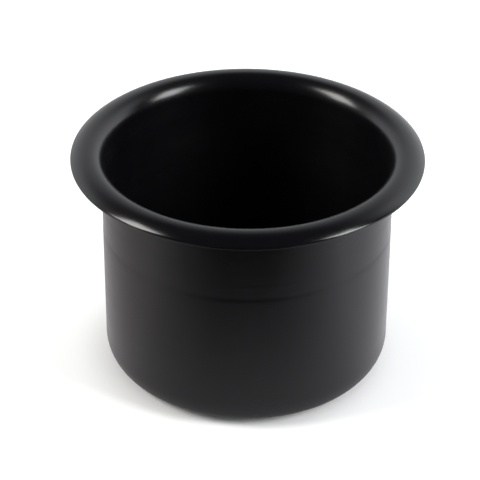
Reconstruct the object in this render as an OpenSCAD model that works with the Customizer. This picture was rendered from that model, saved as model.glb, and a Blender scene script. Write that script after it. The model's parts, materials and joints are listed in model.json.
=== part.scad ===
// Drop-in cup holder, deep-drawn from one round blank of sheet metal.
// A flat-bottomed cup whose mouth rolls outward into a domed rim with a turned-down lip.
// The lip rests on a panel, and the cup hangs through a round cut-out in it.
// Millimetres, +Z up, with the origin at the middle of the base.

/* [Sheet] */
// Thickness of the sheet, the same all over
sheet = 1; // [0.6:0.1:1.5]

/* [Cup] */
// Outside diameter of the straight wall, which passes through the panel
body_d = 89.5; // [60:0.5:120]
// Height from the base to the crest of the rim
height = 74; // [40:0.5:140]
// Outside radius of the corner between the base and the wall
base_corner_r = 8.5; // [3:0.5:20]

/* [Rim] */
// How far the rim stands out past the wall, all round
overhang = 9.25; // [8:0.25:20]
// Radius of the roll from the inside wall up to the crest, on the show face
mouth_r = 4.75; // [2.5:0.25:6]
// Flatness of the dome where the lip bends down from it, as its run over its fall
dome_run = 1.05; // [0.7:0.05:2.5]
// Radius inside the bend that turns the rim's edge down
lip_bend_r = 0.2; // [0.1:0.1:2]
// Straight turned-down length below that bend
lip_skirt = 0.2; // [0.1:0.1:4]

/* [Hidden] */
$fn = 180;

// Directions in the section, where x runs outward and y runs up
OUT = [1, 0];
IN = [-1, 0];
UP = [0, 1];
DOWN = [0, -1];

body_r = body_d / 2;
inside_r = body_r - sheet;
rim_r = body_r + overhang;
lip_r = lip_bend_r + sheet;

// The roll at the mouth turns about this point and ends level, at the crest
mouth_centre = [inside_r + mouth_r, height - mouth_r];

// The dome starts level at the crest, and ends where it faces this way.
// The lip's bend takes over there, so both centres lie on one line through that point.
dome_end = [1, dome_run];
centres_apart = (rim_r - lip_r - mouth_centre.x) * dome_end;
dome_r = lip_r + norm(centres_apart);
dome_centre = [mouth_centre.x, height - dome_r];
lip_centre = dome_centre + centres_apart;

// A straight run of the sheet in section, from its lower inner corner
module straight(corner, size) {
    translate(corner) square(size);
}

// A bend of the sheet in section. outer is the radius of its outer face,
// and from and to point out of the centre, up to a quarter turn apart.
module bend(centre, outer, from, to) {
    reach = 5 * outer;
    translate(centre) intersection() {
        difference() {
            circle(outer);
            circle(outer - sheet);
        }
        polygon([[0, 0], reach * from, reach * (from + to), reach * to]);
    }
}

module base_section() {
    corner_centre = [body_r - base_corner_r, base_corner_r];
    straight([0, 0], [corner_centre.x, sheet]);
    bend(corner_centre, base_corner_r, DOWN, OUT);
}

module wall_section() {
    straight([inside_r, base_corner_r], [sheet, mouth_centre.y - base_corner_r]);
}

// All that lies under the dome and the lip's bend in section, as far in from their outer face as inset
module under_rim(inset) {
    reach = 5 * dome_r;
    translate(dome_centre) intersection() {
        circle(dome_r - inset);
        polygon([[0, 0], reach * UP, reach * (UP + dome_end), reach * dome_end]);
    }
    translate(lip_centre) intersection() {
        circle(lip_r - inset);
        translate(2 * lip_r * IN) square([4 * lip_r, 2 * lip_r]);
    }
}

module rim_section() {
    bend(mouth_centre, mouth_r, IN, UP);
    difference() {
        under_rim(0);
        under_rim(sheet);
    }
    straight([rim_r - sheet, lip_centre.y - lip_skirt], [sheet, lip_skirt]);
}

module cup() {
    color("#1a1a1b") rotate_extrude() {
        base_section();
        wall_section();
        rim_section();
    }
}

cup();
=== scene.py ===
"""A drop-in cup holder, deep-drawn in one piece from aluminium sheet and anodised satin black.

The cup is lathed from the section that the frame's box and mounts give, then finished with
a black anodised material whose fine marks run round the axis, as drawing the sheet leaves them.
"""
import json
import math

import bpy
from mathutils import Matrix, Vector


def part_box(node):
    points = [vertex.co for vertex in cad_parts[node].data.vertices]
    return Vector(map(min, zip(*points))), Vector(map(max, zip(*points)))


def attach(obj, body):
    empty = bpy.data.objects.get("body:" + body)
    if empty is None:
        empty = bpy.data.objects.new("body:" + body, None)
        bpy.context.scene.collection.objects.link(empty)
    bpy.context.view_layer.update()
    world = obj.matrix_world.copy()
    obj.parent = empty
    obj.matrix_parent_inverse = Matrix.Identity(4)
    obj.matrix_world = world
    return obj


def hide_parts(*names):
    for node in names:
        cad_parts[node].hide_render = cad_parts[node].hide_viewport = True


MM = 0.001

# Sizes that the frame doesn't hold, in millimetres
LIP_R = 1.2  # radius of the bend that turns the rim's edge down, on the show face
DOME_RUN = 1.05  # flatness of the dome where it meets that bend, run over fall
EDGE_R = 0.25  # rounding that deburring leaves on the trimmed edge, on the show face

# Steps that the last draw left round the outside wall: height, depth and width, in millimetres
DRAW_MARKS = [(47.2, 0.09, 1.8), (49.9, 0.012, 0.6), (52.6, 0.018, 0.7), (56.5, 0.012, 0.6)]
MARK_FADE = 2.5  # how slowly a step dies out above itself, in its own widths

# How finely the section is turned into a mesh
SEGMENTS = 360
ARC_STEP = 4.5  # degrees of a bend between two rings
WALL_STEP = 2.0  # millimetres of the inside wall between two rings
WALL_RINGS = 30  # even rings on the outside wall, besides those that the marks need
DISC_STEP = 4.0  # millimetres of flat base between two rings

# The anodised skin: its colour and gloss, and what the bands and patches add to its roughness
SKIN_COLOUR = (0.0030, 0.0029, 0.0036)
SKIN_SPECULAR = 0.375
SKIN_ANISOTROPY = 0.6
ROUGHNESS = 0.18
BAND_ROUGHNESS = 0.08
PATCH_ROUGHNESS = 0.07

# The noise behind each kind of mark, with its scale to the metre. Lines and bands change round
# the axis at this share of the rate at which they change across it.
LINES = {"Scale": 2600.0, "Detail": 4.0, "Roughness": 0.65}
BANDS = {"Scale": 260.0, "Detail": 3.0, "Roughness": 0.6}
GRAIN = {"Scale": 5200.0, "Detail": 3.0, "Roughness": 0.7}
PATCHES = {"Scale": 70.0, "Detail": 3.0, "Roughness": 0.55}
ROUND_THE_AXIS = 0.012

# Heights of the marks, in metres
LINE_RELIEF = 0.0000035
BAND_RELIEF = 0.000010
GRAIN_RELIEF = 0.0000020

# The patches' noise between these values shades the colour between these shares
PATCH_SPAN = (0.3, 0.7)
PATCH_SHADES = (0.85, 1.15)

# The die burnishes the rim's outer part: where that starts and where it is full, in metres
# from the axis, and the share of the roughness that stays
BURNISHED = (0.0495, 0.0525)
BURNISHED_SHARE = 0.7

# The camera, fitted to the photograph's 480 x 480 frame
FRAME_PX = 480
FOCAL_PX = 2077.9
SENSOR_WIDTH = 36  # millimetres
CAMERA_DISTANCE = 650.0  # millimetres to the point that the frame is centred on
CAMERA_ELEVATION = 32.52  # degrees
CAMERA_ROLL = 0.333  # degrees, anticlockwise
CAMERA_TARGET = (-2.169, 0.0, 40.09)  # millimetres

# The white sweep behind: its brightness, its gain to both sides and to the right, and how its
# top leans. It fades out overhead, between these heights of a direction of length 1, and
# towards the camera, between these depths of it. A faint glow is left in the whole room.
SWEEP_GLOW = 0.85
SWEEP_SIDES = 1.3
SWEEP_LEAN = 0.3
SWEEP_TILT = 0.15
SWEEP_TOP = (0.88, 0.5)
SWEEP_FRONT = (0.0, 0.45)
ROOM_GLOW = 0.01
ROOM_TINT = (0.95, 0.97, 1.0, 1.0)

# The stage, in metres: white paper on the floor, and a low ring of it all round
PAPER = (0.8, 0.8, 0.8, 1.0)
FLOOR_HALF = 3.0
BACKDROP_RADIUS = 2.9
BACKDROP_HEIGHT = 0.5
BACKDROP_GLOW = 0.8
RING_SIDES = 96

# What lifts the floor to white, and the distances over which the soft contact shadow painted into
# that glow ends, in metres from a point a little to the left of the axis
FLOOR_GLOW = 0.32
FLOOR_SHADOW = (0.034, 0.054)
FLOOR_SHADOW_LEFT = 0.003

# The floor as the cup mirrors it, as painted light on a sheet just above the paper: brightness and
# tint of that painted reflection on the left and on the right, and how far to either side of the
# middle the one turns into the other
MIRRORED_HALF = 2.9
MIRRORED_Z = 0.0005
MIRRORED_LEFT = 0.75
MIRRORED_RIGHT = 1.05
LEFT_MIRRORED_TINT = (1.0, 0.95, 0.97, 1.0)
RIGHT_MIRRORED_TINT = (0.98, 0.98, 1.03, 1.0)
MIRRORED_BLEND = 0.1

# In front of the cup the painted reflection is this bright close by, and turns to painted shade
# over these distances. The front gives way to the bright sides between these cosines of the angle
# from straight forwards.
MIRRORED_FRONT = 0.9
DARK_FRONT = (0.15, 0.03)
FRONT_SPREAD = (0.96, 0.38)

# Far out to the front's sides it gains this much, over these distances and those cosines
FAR_SIDES = 3.2
FAR_FLOOR = (0.18, 0.35)
FAR_SPREAD = (-0.2, 0.2)

# At the cup's foot a shadow is painted into it: the distances over which that ends, and the share
# left
CONTACT = (0.038, 0.052)
CONTACT_SHARE = 0.2

# The side lamps: their distance from the middle of the cup's base and the point that they face,
# in metres, each one's elevation and turn towards the camera, in degrees, its tint, and their
# size in metres and power in watts
LAMP_DISTANCE = 1.6
LAMP_AIM = (0, 0, 0.07)
LEFT_LAMP = (38.0, 8.0)
RIGHT_LAMP = (35.0, 22.0)
LEFT_LAMP_TINT = (1.0, 0.985, 0.96)
RIGHT_LAMP_TINT = (0.98, 0.99, 1.0)
LAMP_SIZE = (0.54, 0.88)
LAMP_POWER = 22.0

# The lamp overhead, in metres and watts
TOP_PLACE = (0.0, 0.0, 1.1)
TOP_SIZE = (1.2, 1.2)
TOP_POWER = 4.0

SMOOTH = {"interpolation_type": "SMOOTHSTEP"}


def mount(record, name):
    """The record's mount of that name."""
    return next(m for m in record["mounts"] if m["name"] == name)


def arc(centre, radius, start, stop):
    """Points on an arc about centre from start to stop degrees, both ends included."""
    count = max(2, round(abs(stop - start) / ARC_STEP))
    angles = [math.radians(start + (stop - start) * i / count) for i in range(count + 1)]
    return [(centre[0] + radius * math.cos(a), centre[1] + radius * math.sin(a)) for a in angles]


def line(start, stop, step):
    """Points between two ends of a straight run, without the ends."""
    count = max(1, round(math.dist(start, stop) / step))
    return [
        (start[0] + (stop[0] - start[0]) * i / count, start[1] + (stop[1] - start[1]) * i / count)
        for i in range(1, count)
    ]


def step_at(z, height, depth, width):
    """How far one mark sets the wall in at z: in over its width, then slowly out again above."""
    t = min(max((z - height) / width + 0.5, 0), 1)
    fade = math.exp(-max(z - height - width / 2, 0) / (MARK_FADE * width))
    return depth * t * t * (3 - 2 * t) * fade


def marked_wall(body_r, low, high):
    """The outside wall from low to high, with the shallow steps of DRAW_MARKS in it."""
    heights = {round(low + (high - low) * i / WALL_RINGS, 4) for i in range(1, WALL_RINGS)}
    for height, _, width in DRAW_MARKS:
        # Quarter widths across the step itself, then whole widths up its fading side
        heights |= {round(height + width * k / 4, 4) for k in range(-2, 3)}
        heights |= {round(height + width * k, 4) for k in (1, 2, 3, 4, 6)}
    return [(body_r - sum(step_at(z, *mark) for mark in DRAW_MARKS), z) for z in sorted(heights)]


def cup_section(record, box):
    """The sheet's section as (radius, height) points, from axis to axis, in millimetres."""
    inside = mount(record, "cup_bore")
    outside = mount(record, "panel_cutout")
    inside_r = inside["dims"]["r_mm"]
    body_r = outside["dims"]["r_mm"]
    sheet = body_r - inside_r
    wall_low = outside["pos_m"][2] / MM - outside["dims"]["length_mm"] / 2
    wall_high = wall_low + outside["dims"]["length_mm"]
    height = box[1][2] / MM
    rim_r = box[1][0] / MM
    lip_low = mount(record, "panel_seat")["pos_m"][2] / MM

    # The bends' centres. The dome and the lip's bend meet where both face the same way.
    corner = (body_r - wall_low, wall_low)
    mouth_r = height - wall_high
    mouth = (inside_r + mouth_r, wall_high)
    steep = math.degrees(math.atan(1 / DOME_RUN))
    dome_r = LIP_R + (rim_r - LIP_R - mouth[0]) / math.sin(math.radians(steep))
    dome = (mouth[0], height - dome_r)
    lip_z = dome[1] + (dome_r - LIP_R) * math.cos(math.radians(steep))
    lip = (rim_r - LIP_R, lip_z)
    bend_end = 90 - steep

    # The trimmed edge's rounding is larger than the straight skirt below the bend, so it runs
    # into the bend itself, and meets it at this angle
    skirt = lip_z - lip_low
    edge_z = lip_low + EDGE_R
    meet = math.asin((edge_z - lip_z) / (LIP_R - EDGE_R))
    edge = (lip[0] + (LIP_R - EDGE_R) * math.cos(meet), edge_z)
    meet = math.degrees(meet)

    hidden_face = (
        [(0, 0)]
        + line((0, 0), (corner[0], 0), DISC_STEP)
        + arc(corner, wall_low, -90, 0)
        + marked_wall(body_r, wall_low, wall_high)
        + arc(mouth, mouth_r - sheet, 180, 90)[:-1]
        + arc(dome, dome_r - sheet, 90, bend_end)[:-1]
        + arc(lip, LIP_R - sheet, bend_end, 0)[:-1]
    )
    trimmed_edge = (
        arc((rim_r - sheet + skirt, lip_z), skirt, -180, -90)
        + arc(edge, EDGE_R, -90, meet)[:-1]
    )
    show_face = (
        arc(lip, LIP_R, meet, bend_end)[:-1]
        + arc(dome, dome_r, bend_end, 90)[:-1]
        + arc(mouth, mouth_r, 90, 180)
        + line((inside_r, wall_high), (inside_r, wall_low), WALL_STEP)
        + arc(corner, wall_low - sheet, 0, -90)
        + line((corner[0], sheet), (0, sheet), DISC_STEP)
        + [(0, sheet)]
    )
    return hidden_face + trimmed_edge + show_face


def lathe(name, section):
    """A closed mesh of the section turned about Z, in metres, and the sheet's own length.

    Its UV map runs round the axis and along the sheet.
    """
    along = [0.0]
    for a, b in zip(section, section[1:]):
        along.append(along[-1] + math.dist(a, b))

    verts = []
    rings = []
    for radius, z in section:
        if radius == 0:
            rings.append([len(verts)] * SEGMENTS)
            verts.append((0, 0, z * MM))
            continue
        rings.append([len(verts) + i for i in range(SEGMENTS)])
        for i in range(SEGMENTS):
            turn = math.tau * i / SEGMENTS
            verts.append((radius * math.cos(turn) * MM, radius * math.sin(turn) * MM, z * MM))

    faces = []
    uvs = []
    for row, (below, above) in enumerate(zip(rings, rings[1:])):
        for i in range(SEGMENTS):
            j = (i + 1) % SEGMENTS
            corners = [
                (below[i], i, row),
                (below[j], i + 1, row),
                (above[j], i + 1, row + 1),
                (above[i], i, row + 1),
            ]
            if below[i] == below[j]:
                corners.pop(1)
            elif above[i] == above[j]:
                corners.pop(2)
            faces.append([c[0] for c in corners])
            uvs += [(c[1] / SEGMENTS, along[c[2]] / along[-1]) for c in corners]

    mesh = bpy.data.meshes.new(name)
    mesh.from_pydata(verts, [], faces)
    layer = mesh.uv_layers.new(name="sheet")
    layer.data.foreach_set("uv", [x for uv in uvs for x in uv])
    mesh.shade_smooth()
    mesh.update()
    piece = bpy.data.objects.new(name, mesh)
    bpy.context.scene.collection.objects.link(piece)
    return piece, along[-1]


class Nodes:
    """Adds shader nodes to one material or world, and feeds them by socket name."""

    def __init__(self, owner):
        owner.use_nodes = True
        self.tree = owner.node_tree
        self.tree.nodes.clear()

    def feed(self, socket, value):
        """Links the socket to value where that is a node's output, and else sets it to value."""
        if isinstance(value, bpy.types.NodeSocket):
            self.tree.links.new(value, socket)
        else:
            socket.default_value = value

    def add(self, kind, settings=None, **inputs):
        node = self.tree.nodes.new("ShaderNode" + kind)
        for key, value in (settings or {}).items():
            setattr(node, key, value)
        for key, value in inputs.items():
            self.feed(node.inputs[key.replace("_", " ")], value)
        return node

    def maths(self, operation, *values):
        node = self.add("Math", {"operation": operation})
        for socket, value in zip(node.inputs, values):
            self.feed(socket, value)
        return node.outputs[0]

    def between(self, value, span, settings=None, low=0.0, high=1.0):
        """value mapped from the span's two ends to low and high."""
        return self.add(
            "MapRange",
            settings,
            Value=value,
            From_Min=span[0],
            From_Max=span[1],
            To_Min=low,
            To_Max=high,
        ).outputs[0]

    def length(self, vector):
        return self.add("VectorMath", {"operation": "LENGTH"}, Vector=vector).outputs["Value"]


def black_anodised(sheet_length):
    """Satin black anodised aluminium: near-black, with marks round the axis and a faint grain."""
    material = bpy.data.materials.new("black_anodised")
    n = Nodes(material)
    place = n.add("TexCoord")
    where = n.add("SeparateXYZ", Vector=place.outputs["Object"])
    x, y = where.outputs["X"], where.outputs["Y"]
    sheet = n.add("SeparateXYZ", Vector=place.outputs["UV"])
    metres = n.maths("MULTIPLY", sheet.outputs["Y"], sheet_length * MM)

    # Fine lines and bands round the axis: slow along the circle, quick across it
    lines_at = n.add(
        "CombineXYZ",
        X=n.maths("MULTIPLY", x, ROUND_THE_AXIS),
        Y=n.maths("MULTIPLY", y, ROUND_THE_AXIS),
        Z=metres,
    ).outputs[0]
    lines = n.add("TexNoise", Vector=lines_at, **LINES).outputs["Fac"]
    bands = n.add("TexNoise", Vector=lines_at, **BANDS).outputs["Fac"]
    # The etched skin's even, very fine grain, and slow patches where the sheet thinned
    grain = n.add("TexNoise", Vector=place.outputs["Object"], **GRAIN).outputs["Fac"]
    patches = n.add("TexNoise", Vector=place.outputs["Object"], **PATCHES).outputs["Fac"]

    radius = n.maths("SQRT", n.maths("ADD", n.maths("POWER", x, 2.0), n.maths("POWER", y, 2.0)))
    burnished = n.between(radius, BURNISHED, low=1.0, high=BURNISHED_SHARE)
    roughness = n.maths("MULTIPLY_ADD", bands, BAND_ROUGHNESS, ROUGHNESS)
    roughness = n.maths("MULTIPLY_ADD", patches, PATCH_ROUGHNESS, roughness)
    roughness = n.maths("MULTIPLY", roughness, burnished)

    relief = n.maths(
        "ADD",
        n.maths("MULTIPLY", lines, LINE_RELIEF),
        n.maths("MULTIPLY", grain, GRAIN_RELIEF),
    )
    relief = n.maths("MULTIPLY_ADD", bands, BAND_RELIEF, relief)
    bump = n.add("Bump", Height=relief, Distance=1.0, Strength=1.0)

    shade = n.between(patches, PATCH_SPAN, low=PATCH_SHADES[0], high=PATCH_SHADES[1])
    colour = n.add("VectorMath", {"operation": "SCALE"}, Vector=SKIN_COLOUR, Scale=shade)
    tangent = n.add("Tangent", {"direction_type": "RADIAL", "axis": "Z"})
    surface = n.add(
        "BsdfPrincipled",
        Base_Color=colour.outputs[0],
        Metallic=0.0,
        Roughness=roughness,
        Specular_IOR_Level=SKIN_SPECULAR,
        Anisotropic=SKIN_ANISOTROPY,
        Anisotropic_Rotation=0.25,
        Normal=bump.outputs[0],
        Tangent=tangent.outputs[0],
    )
    n.add("OutputMaterial", Surface=surface.outputs[0])
    return material


def seen_directly(n):
    """1 for camera, glossy and transmission rays, which see the stage white, and 0 for others."""
    path = n.add("LightPath")
    glossy = n.maths("MAXIMUM", path.outputs["Is Camera Ray"], path.outputs["Is Glossy Ray"])
    return n.maths("MAXIMUM", glossy, path.outputs["Is Transmission Ray"])


def white_stage(name, glow, shadow_end=None):
    """White paper that keeps the object's shadow. glow lifts what the lamps leave short of white.

    shadow_end, where it is given, is the two distances between which the glow sets in, which paints
    a soft contact shadow inside them.
    """
    material = bpy.data.materials.new(name)
    n = Nodes(material)
    if shadow_end:
        place = n.add(
            "Mapping",
            Vector=n.add("TexCoord").outputs["Object"],
            Location=(FLOOR_SHADOW_LEFT, 0.0, 0.0),
        )
        # The glow fades out towards the cup: a painted contact shadow on the floor
        glow = n.between(n.length(place.outputs[0]), shadow_end, SMOOTH, high=glow)
    paper = n.add("BsdfDiffuse", Color=PAPER)
    light = n.add("Emission", Strength=n.maths("MULTIPLY", seen_directly(n), glow))
    both = n.add("AddShader")
    n.feed(both.inputs[0], paper.outputs[0])
    n.feed(both.inputs[1], light.outputs[0])
    n.add("OutputMaterial", Surface=both.outputs[0])
    return material


def mirrored_floor():
    """The floor's light as the cup mirrors it, painted on a glowing sheet, with painted shade in
    front of the cup and a painted shadow at its foot.
    """
    material = bpy.data.materials.new("mirrored_floor")
    n = Nodes(material)
    place = n.add("TexCoord").outputs["Object"]
    where = n.add("SeparateXYZ", Vector=place)
    reach = n.length(place)
    forwards = n.maths("DIVIDE", n.maths("MULTIPLY", where.outputs["Y"], -1.0), reach)

    # The painted reflection is darker on the left and brighter on the right
    across = n.between(where.outputs["X"], (-MIRRORED_BLEND, MIRRORED_BLEND), SMOOTH)
    level = n.between(across, (0.0, 1.0), low=MIRRORED_LEFT, high=MIRRORED_RIGHT)
    tint = n.add("MixRGB", Fac=across, Color1=LEFT_MIRRORED_TINT, Color2=RIGHT_MIRRORED_TINT)
    far = n.between(forwards, FAR_SPREAD, SMOOTH, low=1.0, high=FAR_SIDES)
    level = n.maths("MULTIPLY", level, n.between(reach, FAR_FLOOR, SMOOTH, low=1.0, high=far))

    # Painted shade in front of the cup
    front = n.between(reach, DARK_FRONT, SMOOTH, high=MIRRORED_FRONT)
    shade = n.between(n.between(forwards, FRONT_SPREAD), (0.0, 1.0), low=front)
    # A painted contact shadow at the cup's foot
    foot = n.between(reach, CONTACT, SMOOTH, low=CONTACT_SHARE)
    light = n.maths("MULTIPLY", n.maths("MULTIPLY", level, shade), foot)
    glow = n.add("Emission", Color=tint.outputs[0], Strength=light)
    n.add("OutputMaterial", Surface=glow.outputs[0])
    return material


def stage_piece(name, verts, faces, material):
    """A mesh of the stage, which isn't part of the object."""
    mesh = bpy.data.meshes.new(name)
    mesh.from_pydata(verts, [], faces)
    mesh.materials.append(material)
    piece = bpy.data.objects.new(name, mesh)
    bpy.context.scene.collection.objects.link(piece)
    return piece


def flat(name, half, z, material):
    """A level square of the stage that reaches half to each side of the axis, in metres."""
    corners = [(-half, -half, z), (half, -half, z), (half, half, z), (-half, half, z)]
    return stage_piece(name, corners, [(0, 1, 2, 3)], material)


def wall_ring(name, radius, height, material):
    """A low round wall that closes the stage on every side, seen from inside."""
    verts = []
    for z in (0, height):
        for i in range(RING_SIDES):
            turn = math.tau * i / RING_SIDES
            verts.append((radius * math.cos(turn), radius * math.sin(turn), z))
    faces = []
    for i in range(RING_SIDES):
        after = (i + 1) % RING_SIDES
        faces.append((after, i, i + RING_SIDES, after + RING_SIDES))
    return stage_piece(name, verts, faces, material)


def softbox(name, place, aim, size, power, colour=(1, 1, 1)):
    """A rectangular lamp at place, in metres, turned to face aim."""
    lamp = bpy.data.lights.new(name, "AREA")
    lamp.shape = "RECTANGLE"
    lamp.size, lamp.size_y = size
    lamp.energy = power
    lamp.color = colour
    piece = bpy.data.objects.new(name, lamp)
    piece.location = place
    piece.rotation_euler = (Vector(aim) - Vector(place)).to_track_quat("-Z", "Y").to_euler()
    bpy.context.scene.collection.objects.link(piece)
    return piece


def build_world():
    """The room: a white sweep behind the cup that fades overhead, and dark towards the camera."""
    world = bpy.data.worlds.new("studio")
    bpy.context.scene.world = world
    n = Nodes(world)
    towards = n.add("SeparateXYZ", Vector=n.add("TexCoord").outputs["Generated"])
    x = towards.outputs["X"]
    height = n.maths("MULTIPLY_ADD", x, -SWEEP_TILT, towards.outputs["Z"])
    below = n.between(height, SWEEP_TOP, SMOOTH)
    behind = n.between(towards.outputs["Y"], SWEEP_FRONT, SMOOTH)
    sides = n.maths("MULTIPLY", n.maths("POWER", n.maths("ABSOLUTE", x), 2.0), SWEEP_SIDES)
    glow = n.maths("ADD", sides, n.maths("MULTIPLY_ADD", x, SWEEP_LEAN, SWEEP_GLOW))
    strength = n.maths("MULTIPLY_ADD", n.maths("MULTIPLY", below, behind), glow, ROOM_GLOW)
    room = n.add("Background", Color=ROOM_TINT, Strength=strength)
    n.add("OutputWorld", Surface=room.outputs[0])


def build_stage():
    """White paper all round, and a sheet over it that only reflections see, which glows with a
    painted reflection of the floor.
    """
    flat("floor", FLOOR_HALF, 0.0, white_stage("paper", FLOOR_GLOW, FLOOR_SHADOW))
    paper = white_stage("backdrop_paper", BACKDROP_GLOW)
    backdrop = wall_ring("backdrop", BACKDROP_RADIUS, BACKDROP_HEIGHT, paper)
    backdrop.visible_glossy = False

    mirrored = flat("mirrored_floor", MIRRORED_HALF, MIRRORED_Z, mirrored_floor())
    mirrored.visible_camera = False
    mirrored.visible_diffuse = False
    mirrored.visible_shadow = False
    mirrored.visible_transmission = False


def from_side(side, elevation, forwards):
    """A side lamp's place. side is -1 for the left and 1 for the right."""
    level = LAMP_DISTANCE * math.cos(math.radians(elevation))
    height = LAMP_DISTANCE * math.sin(math.radians(elevation))
    turn = math.radians(forwards)
    return (side * level * math.cos(turn), -level * math.sin(turn), height)


def build_lamps():
    """Two side softboxes make the streaks on the rim, and a broad one overhead lights the floor."""
    left = from_side(-1, *LEFT_LAMP)
    right = from_side(1, *RIGHT_LAMP)
    softbox("softbox_left", left, LAMP_AIM, LAMP_SIZE, LAMP_POWER, LEFT_LAMP_TINT)
    softbox("softbox_right", right, LAMP_AIM, LAMP_SIZE, LAMP_POWER, RIGHT_LAMP_TINT)
    top = softbox("softbox_top", TOP_PLACE, (0, 0, 0), TOP_SIZE, TOP_POWER)
    top.visible_glossy = False


def build_camera():
    """The camera that took the photograph, as its outlines give it."""
    elevation = math.radians(CAMERA_ELEVATION)
    back = Vector((0, -math.cos(elevation), math.sin(elevation)))
    up = Vector((0, math.sin(elevation), math.cos(elevation)))
    place = Vector(CAMERA_TARGET) * MM + back * CAMERA_DISTANCE * MM
    axes = Matrix((Vector((1, 0, 0)), up, back)).transposed().to_4x4()
    roll = Matrix.Rotation(math.radians(CAMERA_ROLL), 4, "Z")
    lens = bpy.data.cameras.new("camera")
    lens.sensor_width = SENSOR_WIDTH
    lens.lens = FOCAL_PX * lens.sensor_width / FRAME_PX
    lens.clip_start, lens.clip_end = 0.01, 20
    camera = bpy.data.objects.new("camera", lens)
    camera.matrix_world = Matrix.Translation(place) @ axes @ roll
    bpy.context.scene.collection.objects.link(camera)
    bpy.context.scene.camera = camera


def build_cup(frame):
    """The cup in place of the frame's plain one."""
    section = cup_section(frame["record"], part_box("cup"))
    cup, sheet_length = lathe("anodised_cup", section)
    cup.data.materials.append(black_anodised(sheet_length))
    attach(cup, "root")
    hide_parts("cup")


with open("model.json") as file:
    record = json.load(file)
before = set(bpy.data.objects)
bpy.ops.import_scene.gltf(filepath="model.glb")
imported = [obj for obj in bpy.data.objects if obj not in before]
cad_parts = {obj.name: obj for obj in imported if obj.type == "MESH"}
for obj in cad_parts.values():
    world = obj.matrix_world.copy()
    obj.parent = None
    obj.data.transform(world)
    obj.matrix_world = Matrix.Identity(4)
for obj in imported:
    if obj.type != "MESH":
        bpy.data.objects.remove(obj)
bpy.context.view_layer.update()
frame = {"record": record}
build_camera()
build_world()
build_stage()
build_lamps()
build_cup(frame)
bpy.context.scene.view_settings.view_transform = "Standard"
